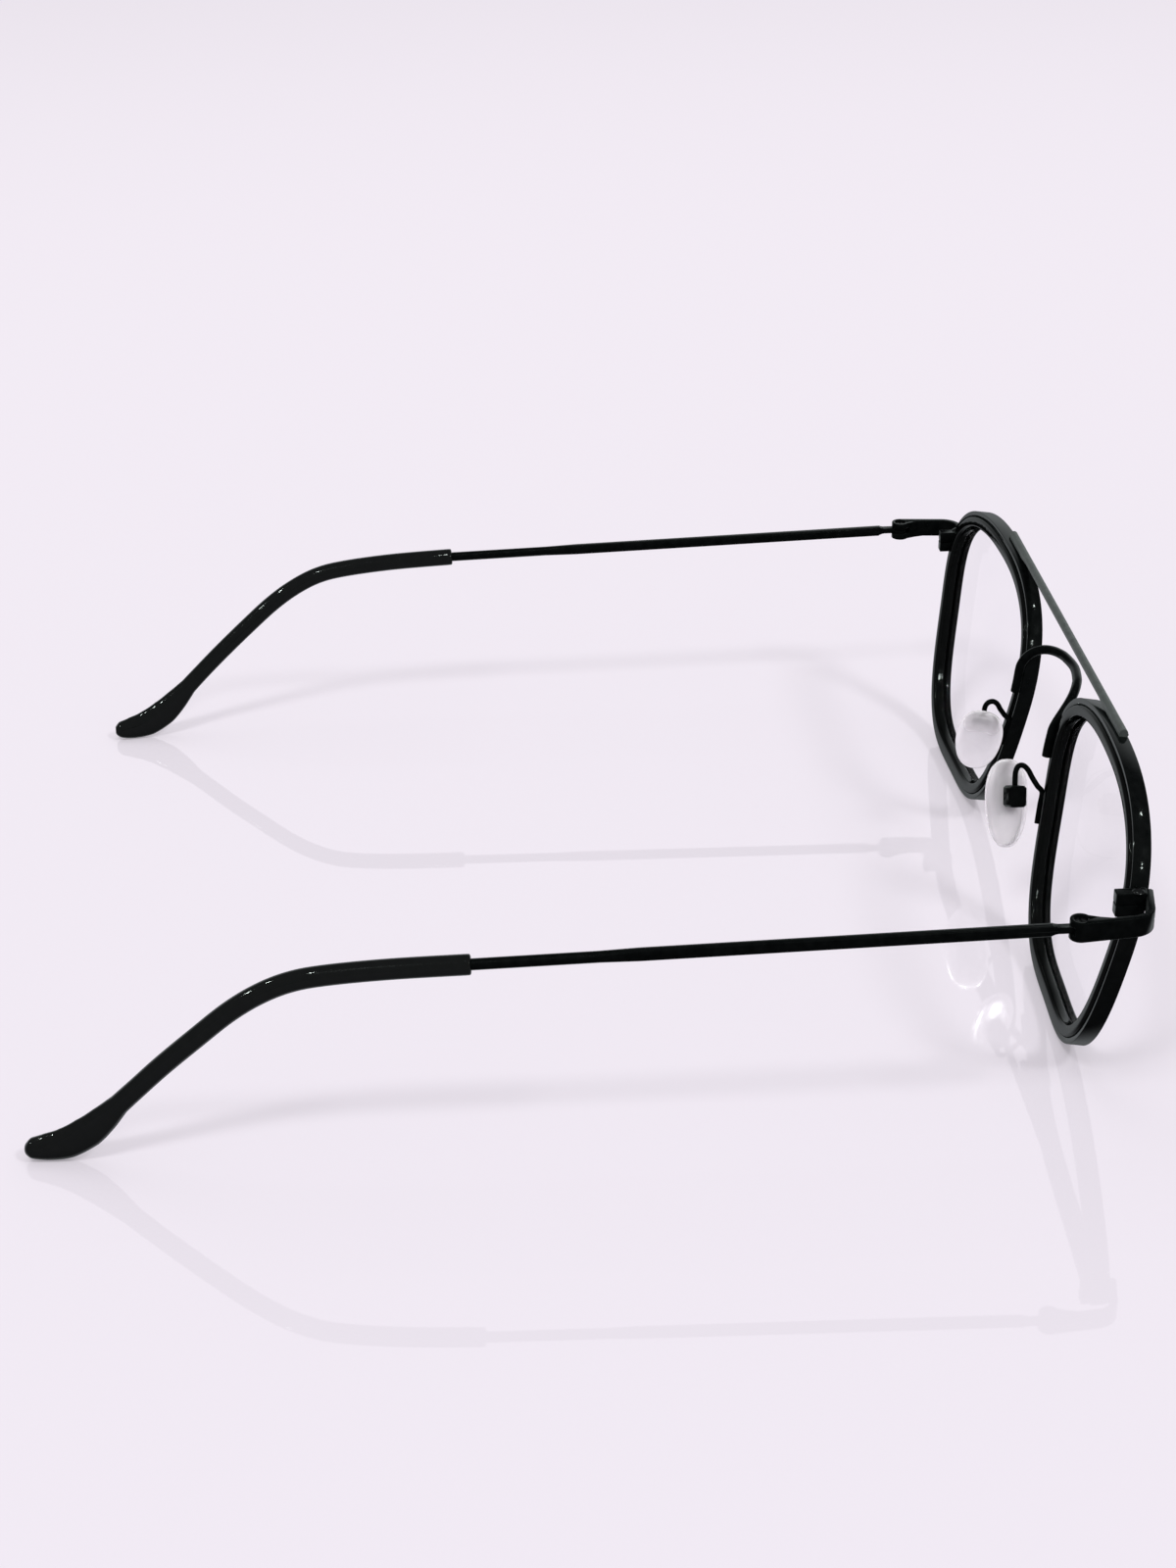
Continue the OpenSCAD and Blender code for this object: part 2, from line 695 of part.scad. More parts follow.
// Part of the paddle's half width that lies below the path's lowest point
paddle_below = 0.74;
ear_scale = [ear_in / ear_end[0], ear_l / ear_end[1], (hinge_z - paddle_below * paddle_r) / ear_end[2]];
sleeve_points = concat(
    [along(sleeve_start)],
    [
        for (p = ear_drawn) [
            hinge_x - ear_scale[0] * p[0],
            ear_start + ear_scale[1] * p[1],
            hinge_z - ear_scale[2] * p[2]
        ]
    ]
);
sleeve_path = spline(sleeve_points, 2);
function mix(a, b, t) = a + (b - a) * t;
function bulge_at(i) = mix(bulge[floor(i / 2)], bulge[min(ceil(i / 2), len(bulge) - 1)], (i % 2) / 2);
function sleeve_half(i) = sleeve_r + (paddle_r - sleeve_r) * bulge_at(i);
function sleeve_thick(i) = min(sleeve_r, sleeve_half(i));
function sleeve_ring(i, ra, rb) =
    ring_at(sleeve_path[i], dir_at(sleeve_path, i), [1, 0, 0], ra, rb, tube_sides);
core_last = 20;

wire_ring = [wire_r, wire_r, 1];
blade_ring = [blade_t / 2, blade_h / 2, 0.4];
temple_path = concat(
    [along(blade_start), along(blade_l), along(blade_l + taper_l)],
    [for (i = [0 : core_last]) sleeve_path[i]]
);
temple_rings = concat([blade_ring, blade_ring], [for (i = [2 : len(temple_path) - 1]) wire_ring]);

module temple() {
    difference() {
        union() {
            translate([hinge_x, 0, hinge_z - tongue_h / 2]) cylinder(h = tongue_h, r = slot_x - turn_gap);
            translate([hinge_x - neck_w / 2, 0, hinge_z - tongue_h / 2])
                cube([neck_w, blade_start + scoop_r, tongue_h]);
            skin([
                for (i = [0 : len(temple_path) - 1])
                    let (q = temple_rings[i])
                    ring_at(temple_path[i], dir_at(temple_path, i), [1, 0, 0], q[0], q[1], tube_sides, q[2])
            ], false);
        }
        translate([hinge_x, 0, hinge_z - tongue_h]) cylinder(h = 2 * tongue_h, r = hinge_screw_r + turn_gap);
        for (s = [-1, 1]) translate([hinge_x, blade_start, hinge_z + s * (tongue_h / 2 + scoop_r + touch)])
            rotate([0, 90, 0]) cylinder(h = 2 * blade_t, r = scoop_r, center = true);
    }
}

// Sleeve with a blind bore for the wire's core and a rounded lip at its mouth
module tip_sleeve() {
    last = len(sleeve_path) - 1;
    bore_r = wire_r + core_gap;
    bore = [for (i = [core_last + 1 : -1 : 0]) sleeve_ring(i, bore_r, bore_r)];
    outside = [for (i = [0 : last]) sleeve_ring(i, sleeve_thick(i), sleeve_half(i))];
    skin(concat(bore, outside), false);
}

tip = len(sleeve_path) - 1;
tip_ring = sleeve_ring(tip, sleeve_thick(tip), sleeve_half(tip));
y_mid = (bridge_front + max([for (p = tip_ring) p[1]])) / 2;

// Each piece as it lies in the row's frame
module seat() {
    translate([0, -y_mid, 0]) children();
}
seat() brow_bar();
seat() lower_bridge();
color("dimgray") seat() rim_band();  // left_rim_band
color("dimgray") seat() right() rim_band();  // right_rim_band
color("black") seat() inner_ring();  // left_inner_ring
color("black") seat() right() inner_ring();  // right_inner_ring
color([0.8, 0.9, 0.95, 0.4]) seat() lens();  // left_lens
color([0.8, 0.9, 0.95, 0.4]) seat() right() lens();  // right_lens
color("dimgray") seat() pad_arm();  // left_pad_arm
color("dimgray") seat() right() pad_arm();  // right_pad_arm
color("black") seat() pad_box();  // left_pad_box
color("black") seat() right() pad_box();  // right_pad_box
color("dimgray") seat() pad_screw();  // left_pad_screw
color("dimgray") seat() right() pad_screw();  // right_pad_screw
color([0.9, 0.9, 0.9, 0.7]) seat() nose_pad();  // left_nose_pad
color([0.9, 0.9, 0.9, 0.7]) seat() right() nose_pad();  // right_nose_pad
color("whitesmoke") seat() pad_insert();  // left_pad_insert
color("whitesmoke") seat() right() pad_insert();  // right_pad_insert
color("dimgray") seat() end_piece();  // left_end_piece
color("dimgray") seat() right() end_piece();  // right_end_piece
color("dimgray") seat() upper_block();  // left_upper_block
color("dimgray") seat() right() upper_block();  // right_upper_block
color("dimgray") seat() lower_block();  // left_lower_block
color("dimgray") seat() right() lower_block();  // right_lower_block
color("black") seat() closing_screw();  // left_closing_screw
color("black") seat() right() closing_screw();  // right_closing_screw
color("black") seat() hinge_screw();  // left_hinge_screw
color("black") seat() right() hinge_screw();  // right_hinge_screw
color("dimgray") seat() temple();  // left_temple
color("dimgray") seat() right() temple();  // right_temple
color("black") seat() tip_sleeve();  // left_tip_sleeve
color("black") seat() right() tip_sleeve();  // right_tip_sleeve
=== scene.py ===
import json
import math

import bpy
import numpy as np
from mathutils import Euler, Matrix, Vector


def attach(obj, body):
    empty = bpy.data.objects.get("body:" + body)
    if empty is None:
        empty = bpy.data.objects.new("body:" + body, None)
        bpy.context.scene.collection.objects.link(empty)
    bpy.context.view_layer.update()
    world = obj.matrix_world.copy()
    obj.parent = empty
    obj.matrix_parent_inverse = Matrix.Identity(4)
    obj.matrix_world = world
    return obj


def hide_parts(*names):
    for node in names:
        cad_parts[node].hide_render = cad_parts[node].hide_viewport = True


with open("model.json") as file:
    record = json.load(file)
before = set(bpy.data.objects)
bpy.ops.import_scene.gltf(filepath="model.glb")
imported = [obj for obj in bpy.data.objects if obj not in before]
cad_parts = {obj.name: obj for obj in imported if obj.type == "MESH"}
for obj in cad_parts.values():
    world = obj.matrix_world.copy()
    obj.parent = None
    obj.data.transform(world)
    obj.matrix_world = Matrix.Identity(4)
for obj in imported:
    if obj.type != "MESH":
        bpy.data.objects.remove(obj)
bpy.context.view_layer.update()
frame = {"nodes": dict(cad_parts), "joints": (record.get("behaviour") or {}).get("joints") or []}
nodes = frame["nodes"]
joints = {j["name"]: j for j in frame["joints"]}

SIDES = (("left_", 1), ("right_", -1))

# Sizes in millimetres, as in the CAD source; edge radii and the like are only here.
# Rim: middle of the lens, outline and how square it is, tilt and wrap, curve of the face, and how far
# it stands before the hinge axes
LENS_X = 35.8
RIM_HALF, RIM_UP, RIM_DOWN = 24.4, 20.3, 21.4
TOP_SQUARE, BOTTOM_SQUARE, FLARE = 2.5, 3.5, 0.0095
TILT, WRAP, FACE_R, RIM_SET = math.radians(8.8), math.radians(2.2), 350.0, 8.1
RIM_STEP = 1.5                     # degrees between two sections
# Band, with the gap where it is split, and the inner ring, which stands out behind and before it
BAND_T, BAND_DEPTH, BAND_GAP, BAND_EDGE, BAND_ARC = 0.9, 2.4, 0.3, 0.14, 3
RING_W, RING_BACK, RING_FRONT, RING_SHOULDER = 1.8, 0.4, 0.15, 0.75
RING_ROUND, RING_ARC = 0.5, 5
# Lens: fore is its place before the ring's middle, play the room round it in the groove
LENS_T, LENS_FORE, BEVEL, BEVEL_W, LENS_PLAY, LENS_CHAMFER = 1.4, 0.5, 0.5, 0.9, 0.02, 0.1
LENS_RINGS = (0.985, 0.93, 0.8, 0.6, 0.4, 0.2)
# Brow bar: in is its place behind the band's front, sink how deep it is brazed into the band
BAR_R, BAR_HALF, BAR_IN, BAR_SINK = 0.6, 35.6, 0.7, 0.1
BAR_FILLET, BAR_FILLET_DEEP, BAR_SIDES = 0.5, 0.35, 24
BAR_NEAR_END, BAR_END, BAR_STEP, BAR_STEPS = (1, 0.995, 0.985, 0.97), 1.5, 0.5, 40
# Lower bridge: the ends of its legs on the rims, and the arch between them
BRIDGE_R, BRIDGE_SIDES, BRIDGE_STEPS = 0.7, 24, 5
LEG_LOW, LEG_HIGH, ARCH_RISE, ARCH_BULGE = 4.7, 8.2, 5.3, 5.5
ARCH_SQUARE, BULGE_SQUARE = 3.2, 1.8
ARCH_ANGLES = (0, 4, 12, 22, 32, 42, 52, 62, 71, 80)
# Nose pads: levels give the share of the outline and the place through the thickness
PAD_H, PAD_W, PAD_T = 13.0, 6.9, 2.2
PAD_X, PAD_SET, PAD_DROP = 10.5, 3.0, 2.8
PAD_TURN, PAD_LEAN = math.radians(15), math.radians(24)
PAD_ROUND_W, PAD_ROUND_H, PAD_EGG, PAD_SIDES = 0.85, 0.9, 0.1, 48
PAD_LEVELS = ((0.3, -0.99), (0.55, -0.93), (0.76, -0.76), (0.9, -0.52), (0.975, -0.26), (1.0, 0.0),
              (0.985, 0.24), (0.93, 0.5), (0.83, 0.74), (0.68, 0.92), (0.45, 0.99))
# Pad boxes and arms: legs are polar angles on the rim, bends are offsets from the top of the box
BOX_H, BOX_D, BOX_UP, BOX_GAP = 3.1, 2.0, 1.2, 0.35
ARM_R, ARM_SIDES, ARM_STEPS = 0.4, 20, 8
ARM_LEGS = (-12, -6, -1.5)
ARM_BENDS = ((0.4, -3.2, 0), (-0.1, -2.5, 1.1), (-0.5, -1.9, 2.2), (-0.8, -1.2, 2.8), (-0.8, -0.5, 2.7),
             (-0.5, -0.1, 2), (-0.2, 0, 1), (0, 0, -2 * BAR_SINK))
# Temples and sleeves: the curve round the ear is given from the hinge, as sideways, back and up
HINGE_UP = 9.3
SLOPE, LEAN_IN = 0.0215, 0.0085
SLEEVE_START, SLEEVE_R, PADDLE_R, WIRE_R, WIRE_PLAY = 76.0, 1.35, 2.25, 0.75, 0.05
SLEEVE_STEPS, SLEEVE_SIDES = 8, 28
SLEEVE_LIP = ((0.0, 0.3), (0.03, 0.18), (0.1, 0.07), (0.2, 0.01))
EAR_DROP, PADDLE_REST = 29, 0.74   # lowest point of the curve, and the share of the paddle under it
EAR = ((-1.0, 86, -2.0), (-1.4, 94, -2.7), (-1.7, 98.5, -3.6), (-2.1, 102.5, -5.4), (-2.5, 106.5, -8.1),
       (-2.9, 111, -12.0), (-3.4, 115.5, -16.1), (-3.7, 119, -19.5), (-4.0, 121.5, -22.0),
       (-4.3, 123.7, -24.3), (-4.6, 126, -26.4), (-4.9, 128.8, -28.1), (-5.2, 131.5, -28.8),
       (-5.4, 133.5, -29.0), (-5.5, 134.3, -29.0))
PADDLE = (0, 0, 0, 0, 0, 0, 0, 0, 0, 0.05, 0.6, 1, 1, 0.6, 0, -0.9)
# Softened edges of the CAD nodes that stay
SOFT_SEGMENTS, SOFT_ANGLE, WELD = 3, math.radians(35), 0.000002

HINGE_X, HINGE_Y, HINGE_Z = [1000 * v for v in joints["left_temple_fold"]["pos_m"]]
MID_Z = HINGE_Z - HINGE_UP


def vec(*a):
    return np.array(a, float)


def power(a, p):
    return math.copysign(abs(a) ** p, a)


# The rim's plane, from the lens's middle: towards the temple, up, and back
U_DIR = vec(math.cos(WRAP), math.sin(WRAP), 0)
V_DIR = vec(0, -math.sin(TILT), math.cos(TILT))
N_DIR = np.cross(V_DIR, U_DIR)


def outline(a):
    """Point (u, v) of the rim's outer outline at a polar angle in degrees."""
    c, s = math.cos(math.radians(a)), math.sin(math.radians(a))
    n, h = (TOP_SQUARE, RIM_UP) if s > 0 else (BOTTOM_SQUARE, RIM_DOWN)
    r = ((abs(c) / RIM_HALF) ** n + (abs(s) / h) ** n) ** (-1 / n)
    v = r * s
    return vec(r * c * (1 + FLARE * v), v)


def inset(a, d):
    """The outline's point moved inwards, square to the outline."""
    e = outline(a + 1) - outline(a - 1)
    e /= np.linalg.norm(e)
    return outline(a) + d * vec(-e[1], e[0])


def angle_at(v):
    """Polar angle of the outline's point at a height above the middle, on the temple's side."""
    return math.degrees(math.atan2(v, RIM_HALF * (1 - (v / RIM_UP) ** TOP_SQUARE) ** (1 / TOP_SQUARE)))


def rim_at(uv, back):
    """Point of the left half at (u, v) of the curved face, moved back by a distance."""
    curve = (uv[0] ** 2 + uv[1] ** 2) / (2 * FACE_R)
    return vec(LENS_X, -RIM_SET, MID_Z) + uv[0] * U_DIR + uv[1] * V_DIR + (back + curve) * N_DIR


def place(p, side):
    """A point of the left half, in millimetres from the hinge axes, as metres in the row's frame."""
    return Vector((side * p[0] / 1000, (p[1] + HINGE_Y) / 1000, p[2] / 1000))


# Mesh helpers
def dress(ob, material):
    ob.data.materials.clear()
    ob.data.materials.append(material)


def add_skin(name, shape, side, body, replaced, material, smooth=40):
    """Piece that rides on a body in the place of its CAD nodes; side -1 mirrors it."""
    points, faces = shape
    mesh = bpy.data.meshes.new(name)
    if side < 0:
        faces = [tuple(reversed(f)) for f in faces]
    mesh.from_pydata([place(p, side) for p in points], [], faces)
    mesh.validate()
    mesh.update()
    ob = bpy.data.objects.new(name, mesh)
    bpy.context.scene.collection.objects.link(ob)
    for polygon in mesh.polygons:
        polygon.use_smooth = True
    mesh.set_sharp_from_angle(angle=math.radians(smooth))
    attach(ob, body)
    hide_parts(*replaced)
    dress(ob, material)


def skin(rings, closed=False, caps=True):
    """Quads between equal rings; returns points and faces."""
    n, m = len(rings), len(rings[0])
    points = [p for r in rings for p in r]
    faces = []
    for i in range(n if closed else n - 1):
        k = (i + 1) % n
        for j in range(m):
            q = (j + 1) % m
            faces.append((i * m + j, i * m + q, k * m + q, k * m + j))
    if caps and not closed:
        faces.append(tuple(reversed(range(m))))
        faces.append(tuple((n - 1) * m + j for j in range(m)))
    return points, faces


def spline(p, steps):
    """Smooth curve through the points."""
    out = []
    for i in range(len(p) - 1):
        a, b, c, d = p[max(i - 1, 0)], p[i], p[i + 1], p[min(i + 2, len(p) - 1)]
        for k in range(steps):
            t = k / steps
            out.append(0.5 * (2 * b + (c - a) * t + (2 * a - 5 * b + 4 * c - d) * t * t
                              + (3 * b - a - 3 * c + d) * t ** 3))
    return out + [p[-1]]


def dir_at(path, i):
    return path[min(i + 1, len(path) - 1)] - path[max(i - 1, 0)]


def ring_at(p, way, side_way, ra, rb, sides):
    """Oval ring round a point, square to way; ra is its half width along side_way."""
    k = way / np.linalg.norm(way)
    e = np.cross(k, side_way)
    e /= np.linalg.norm(e)
    s = np.cross(e, k)
    angles = [2 * math.pi * j / sides for j in range(sides)]
    return [p + ra * math.cos(a) * s - rb * math.sin(a) * e for a in angles]


def wire(path, r, side_way, sides, steps=4, first_step=0.35):
    """Round wire along a path, with domed ends."""
    start = path[0] - path[1]
    start /= np.linalg.norm(start)
    end = path[-1] - path[-2]
    end /= np.linalg.norm(end)
    dome = [math.radians(90 * (k + first_step) / steps) for k in range(steps)]

    def domed(tip, way, angles):
        return [(tip - way * r * (1 - math.cos(0.5 * math.pi - a)), r * math.sin(a)) for a in angles]

    middle = [(p, r) for p in path
              if np.linalg.norm(p - path[0]) > r and np.linalg.norm(p - path[-1]) > r]
    full = domed(path[0], start, dome) + middle + domed(path[-1], end, dome[::-1])
    centres = [p for p, _ in full]
    return skin([ring_at(p, dir_at(centres, i), side_way, q, q, sides) for i, (p, q) in enumerate(full)])


def arc(cx, cy, r, a0, a1, steps):
    angles = [math.radians(a0 + (a1 - a0) * i / steps) for i in range(steps + 1)]
    return [(cx + r * math.cos(a), cy + r * math.sin(a)) for a in angles]


# Node helpers: an input is given a value, or another node's output, which is linked to it
def set_inputs(tree, node, inputs):
    for name, value in inputs.items():
        if isinstance(value, bpy.types.NodeSocket):
            tree.links.new(value, node.inputs[name])
        else:
            node.inputs[name].default_value = value


def add_node(tree, kind, inputs=None):
    node = tree.nodes.new("ShaderNode" + kind)
    set_inputs(tree, node, inputs or {})
    return node


def calculate(tree, operation, first, second):
    node = add_node(tree, "Math", {0: first, 1: second})
    node.operation = operation
    return node


def spread(tree, value, begin, end, low, high):
    """Map range node: from begin and end to low and high."""
    return add_node(tree, "MapRange", {"Value": value, "From Min": begin, "From Max": end,
                                       "To Min": low, "To Max": high})


def smooth_spread(tree, value, begin, end, low, high):
    node = spread(tree, value, begin, end, low, high)
    node.interpolation_type = "SMOOTHSTEP"
    return node.outputs["Result"]


def mix_colours(tree, factor, first, second):
    node = tree.nodes.new("ShaderNodeMix")
    node.data_type = "RGBA"
    set_inputs(tree, node, {0: factor, 6: (*first, 1), 7: (*second, 1)})
    return node.outputs[2]


def mix_shaders(tree, factor, first, second):
    return add_node(tree, "MixShader", {"Fac": factor, 1: first, 2: second}).outputs["Shader"]


def noise(tree, scale, detail, seed):
    """Noise in object space, about 0.3 to 0.7."""
    coord = add_node(tree, "TexCoord")
    shift = add_node(tree, "Mapping", {"Vector": coord.outputs["Object"],
                                       "Location": (seed, seed * 0.7, -seed)})
    return add_node(tree, "TexNoise", {"Vector": shift.outputs["Vector"],
                                       "Scale": scale, "Detail": detail}).outputs["Fac"]


def grain(tree, scale, detail, low, high, seed=0.0):
    """Value that wanders between low and high over the surface."""
    return spread(tree, noise(tree, scale, detail, seed), 0.3, 0.7, low, high).outputs["Result"]


def colour_grain(tree, scale, dark, light):
    return mix_colours(tree, grain(tree, scale, 4, 0, 1), dark, light)


def bumps(tree, scale, strength, distance):
    return add_node(tree, "Bump", {"Height": noise(tree, scale, 3, 3.0), "Strength": strength,
                                   "Distance": distance}).outputs["Normal"]


def by_slant(tree, begin, end, low, high):
    """Share that grows from low, face on, to high at a slant (Facing is 0 face on and 1 edge on)."""
    facing = add_node(tree, "LayerWeight", {"Blend": 0.5}).outputs["Facing"]
    return smooth_spread(tree, facing, begin, end, low, high)


def seen(tree):
    """1 where the surface is seen: directly, mirrored or through glass; 0 where it only gives light."""
    path = add_node(tree, "LightPath")
    value = path.outputs["Is Camera Ray"]
    for ray in ("Is Glossy Ray", "Is Transmission Ray"):
        value = calculate(tree, "MAXIMUM", value, path.outputs[ray]).outputs["Value"]
    return value


def new_material(name):
    material = bpy.data.materials.new(name)
    material.use_nodes = True
    return material, material.node_tree


def surface(tree, shader):
    set_inputs(tree, tree.nodes["Material Output"], {"Surface": shader})


# Materials
SLANT_BEGIN, SLANT_END = 0.46, 0.84
SHEEN_TINT = (0.72, 0.81, 0.77, 1)


def sheen_coat(name, dark, light, rough, share, bump):
    """Black finish: a dark body under a skin that mirrors little face on and more at a slant.

    rough is the low and high roughness, share the mirrored part face on and at a slant,
    bump the scale, strength and depth of its unevenness.
    """
    material, tree = new_material(name)
    body = tree.nodes["Principled BSDF"]
    set_inputs(tree, body, {"Specular IOR Level": 0.0, "Base Color": colour_grain(tree, 900, dark, light),
                            "Roughness": grain(tree, 1600, 4, 0.5, 0.7, 1.0)})
    gloss = add_node(tree, "BsdfGlossy", {"Color": SHEEN_TINT, "Normal": bumps(tree, *bump),
                                          "Roughness": grain(tree, 1200, 4, *rough, 2.0)})
    surface(tree, mix_shaders(tree, by_slant(tree, SLANT_BEGIN, SLANT_END, *share),
                              body.outputs["BSDF"], gloss.outputs["BSDF"]))
    return material


def clear_body(name, dark, light, rough, through, ior, shade):
    """Clear plastic that lets the lamps through to the floor, dimmed to the shade."""
    material, tree = new_material(name)
    body = tree.nodes["Principled BSDF"]
    set_inputs(tree, body, {"Transmission Weight": through, "IOR": ior,
                            "Base Color": colour_grain(tree, 250, dark, light),
                            "Roughness": grain(tree, 800, 2, *rough, 4.0)})
    clear = add_node(tree, "BsdfTransparent", {"Color": (*shade, 1)})
    surface(tree, mix_shaders(tree, add_node(tree, "LightPath").outputs["Is Shadow Ray"],
                              body.outputs["BSDF"], clear.outputs["BSDF"]))
    return material


def thin_lens(name, share):
    """Coated lens: almost nothing but a weak mirror image and a faint smear on its outer sides."""
    material, tree = new_material(name)
    tree.nodes.remove(tree.nodes["Principled BSDF"])
    clear = add_node(tree, "BsdfTransparent",
                     {"Color": colour_grain(tree, 120, (0.985, 0.985, 0.99), (0.999, 0.999, 1.0))})
    mirror = add_node(tree, "BsdfGlossy", {"Roughness": grain(tree, 300, 2, 0.0, 0.03, 2.0),
                                           "Normal": bumps(tree, 60, 0.02, 0.00002)})
    fresnel = add_node(tree, "Fresnel", {"IOR": 1.3})
    outer = calculate(tree, "SUBTRACT", share, add_node(tree, "NewGeometry").outputs["Backfacing"])
    amount = calculate(tree, "MULTIPLY", fresnel.outputs["Fac"], outer.outputs["Value"])
    amount.use_clamp = True
    surface(tree, mix_shaders(tree, amount.outputs["Value"], clear.outputs["BSDF"],
                              mirror.outputs["BSDF"]))
    return material


METAL = ((0.0006, 0.0008, 0.0008), (0.0016, 0.0019, 0.0019))
FINE_BUMPS = (6000, 0.12, 0.00001)
SATIN = sheen_coat("satin_black_metal", *METAL, (0.26, 0.36), (0.001, 0.2), FINE_BUMPS)
BAND = sheen_coat("lacquered_black_metal", *METAL, (0.06, 0.12), (0.003, 0.19), (900, 0.3, 0.00003))
# The bar's body colour is lighter than the other black metal: a painted sheen for the light its upward
# faces mirror
BAR = sheen_coat("bar_metal_painted_sheen", (0.022, 0.025, 0.024), (0.032, 0.036, 0.034),
                 (0.36, 0.48), (0.02, 0.16), FINE_BUMPS)
SCREW = sheen_coat("semi_gloss_screw", (0.0006, 0.0006, 0.0007), (0.0014, 0.0014, 0.0015),
                   (0.14, 0.22), (0.012, 0.24), (3000, 0.1, 0.00002))
GLOSS = sheen_coat("polished_black_plastic", (0.0004, 0.0005, 0.0005), (0.0009, 0.001, 0.001),
                   (0.04, 0.09), (0.005, 0.14), (900, 0.6, 0.00005))
SLEEVE = sheen_coat("polished_black_sleeve", (0.0004, 0.0005, 0.0005), (0.001, 0.0011, 0.0011),
                    (0.04, 0.09), (0.012, 0.22), (500, 0.4, 0.00005))
LENS = thin_lens("clear_lens", 0.35)
PAD = clear_body("clear_silicone", (0.52, 0.51, 0.52), (0.62, 0.61, 0.62), (0.28, 0.42),
                 0.75, 1.41, (0.75, 0.74, 0.75))
INSERT = clear_body("clear_insert", (0.5, 0.5, 0.51), (0.64, 0.64, 0.65), (0.1, 0.2),
                    0.7, 1.49, (0.75, 0.75, 0.75))

# Rim bands, inner rings and lenses. The band runs from one side of its split to the other
split = HINGE_UP / math.cos(TILT)
band_from, band_to = angle_at(split + BAND_GAP / 2), 360 + angle_at(split - BAND_GAP / 2)
count = round((band_to - band_from) / RIM_STEP)
band_angles = [band_from + (band_to - band_from) * i / count for i in range(count + 1)]
ring_angles = [RIM_STEP * i for i in range(int(360 / RIM_STEP))]

# Sections as (distance inwards, distance back)
band_section = (arc(BAND_EDGE, -BAND_EDGE, BAND_EDGE, 90, 180, BAND_ARC)
                + arc(BAND_EDGE, -BAND_DEPTH + BAND_EDGE, BAND_EDGE, 180, 270, BAND_ARC)
                + arc(BAND_T - BAND_EDGE, -BAND_DEPTH + BAND_EDGE, BAND_EDGE, 270, 360, BAND_ARC)
                + arc(BAND_T - BAND_EDGE, -BAND_EDGE, BAND_EDGE, 0, 90, BAND_ARC))
RING_IN = BAND_T + RING_W
RING_FORE = -BAND_DEPTH - RING_FRONT
LENS_BACK = (RING_BACK + RING_FORE) / 2 - LENS_FORE
ring_section = ([(BAND_T, RING_BACK - RING_SHOULDER), (BAND_T, RING_FORE + RING_SHOULDER)]
                + arc(BAND_T + RING_ROUND, RING_FORE + RING_ROUND, RING_ROUND, 180, 270, RING_ARC)
                + arc(RING_IN - RING_ROUND, RING_FORE + RING_ROUND, RING_ROUND, 270, 360, RING_ARC)
                + [(RING_IN, LENS_BACK - BEVEL_W / 2), (RING_IN - BEVEL, LENS_BACK),
                   (RING_IN, LENS_BACK + BEVEL_W / 2)]
                + arc(RING_IN - RING_ROUND, RING_BACK - RING_ROUND, RING_ROUND, 0, 90, RING_ARC)
                + arc(BAND_T + RING_ROUND, RING_BACK - RING_ROUND, RING_ROUND, 90, 180, RING_ARC))


def swept(section, angles):
    return [[rim_at(inset(a, d), back) for d, back in section] for a in angles]


def lens_mesh():
    """Curved disc in rings, from the front's middle round the bevelled edge to the back's middle."""
    front, rear = LENS_BACK - LENS_T / 2, LENS_BACK + LENS_T / 2

    def face(shares, back):
        return [[rim_at(s * inset(a, RING_IN), back) for a in ring_angles] for s in shares]

    def edge(inwards, back):
        return [rim_at(inset(a, inwards), back) for a in ring_angles]

    rings = (face(reversed(LENS_RINGS), front)
             + [edge(RING_IN + LENS_PLAY, front + LENS_CHAMFER),
                edge(RING_IN, LENS_BACK - BEVEL_W / 2),
                edge(RING_IN - BEVEL + LENS_PLAY, LENS_BACK),
                edge(RING_IN, LENS_BACK + BEVEL_W / 2),
                edge(RING_IN + LENS_PLAY, rear - LENS_CHAMFER)]
             + face(LENS_RINGS, rear))
    points, faces = skin(rings, caps=False)
    n = len(ring_angles)
    for base, back, flip in ((0, front, True), ((len(rings) - 1) * n, rear, False)):
        points.append(rim_at(vec(0, 0), back))
        k = len(points) - 1
        for j in range(n):
            f = (base + j, base + (j + 1) % n, k)
            faces.append(tuple(reversed(f)) if flip else f)
    return points, faces


for tag, side in SIDES:
    add_skin(tag + "band_skin", skin(swept(band_section, band_angles)), side, "front",
             [tag + "rim_band"], BAND, 30)
    add_skin(tag + "ring_skin", skin(swept(ring_section, ring_angles), closed=True), side, "front",
             [tag + "inner_ring"], GLOSS, 50)
    add_skin(tag + "lens_skin", lens_mesh(), side, "front", [tag + "lens"], LENS, 30)


# Lower bridge
def leg_at(v):
    return rim_at(outline(180 - angle_at(v)) + vec(BAND_T / 2, 0), BRIDGE_R - BAR_SINK)


foot = leg_at(LEG_HIGH)


def arch_at(a):
    c = power(math.cos(math.radians(a)), 2 / ARCH_SQUARE)
    return vec(foot[0] * c,
               foot[1] - ARCH_BULGE * (1 - min(1, abs(c)) ** BULGE_SQUARE) ** (1 / BULGE_SQUARE),
               foot[2] + ARCH_RISE * power(math.sin(math.radians(a)), 2 / ARCH_SQUARE))


half = [leg_at(LEG_LOW), leg_at((LEG_LOW + LEG_HIGH) / 2)] + [arch_at(a) for a in ARCH_ANGLES]
whole = half + [arch_at(90)] + [p * vec(-1, 1, 1) for p in reversed(half)]
bridge_wire = wire(spline(whole, BRIDGE_STEPS), BRIDGE_R, vec(0, 1, 0.1), BRIDGE_SIDES)
add_skin("lower_bridge_skin", bridge_wire, 1, "front", ["lower_bridge"], SATIN)

# Brow bar: a round rod whose underside spreads into a braze fillet where it nears a band
bar_seat = rim_at(outline(90), BAR_IN - BAND_DEPTH) + vec(0, 0, BAR_R - BAR_SINK)


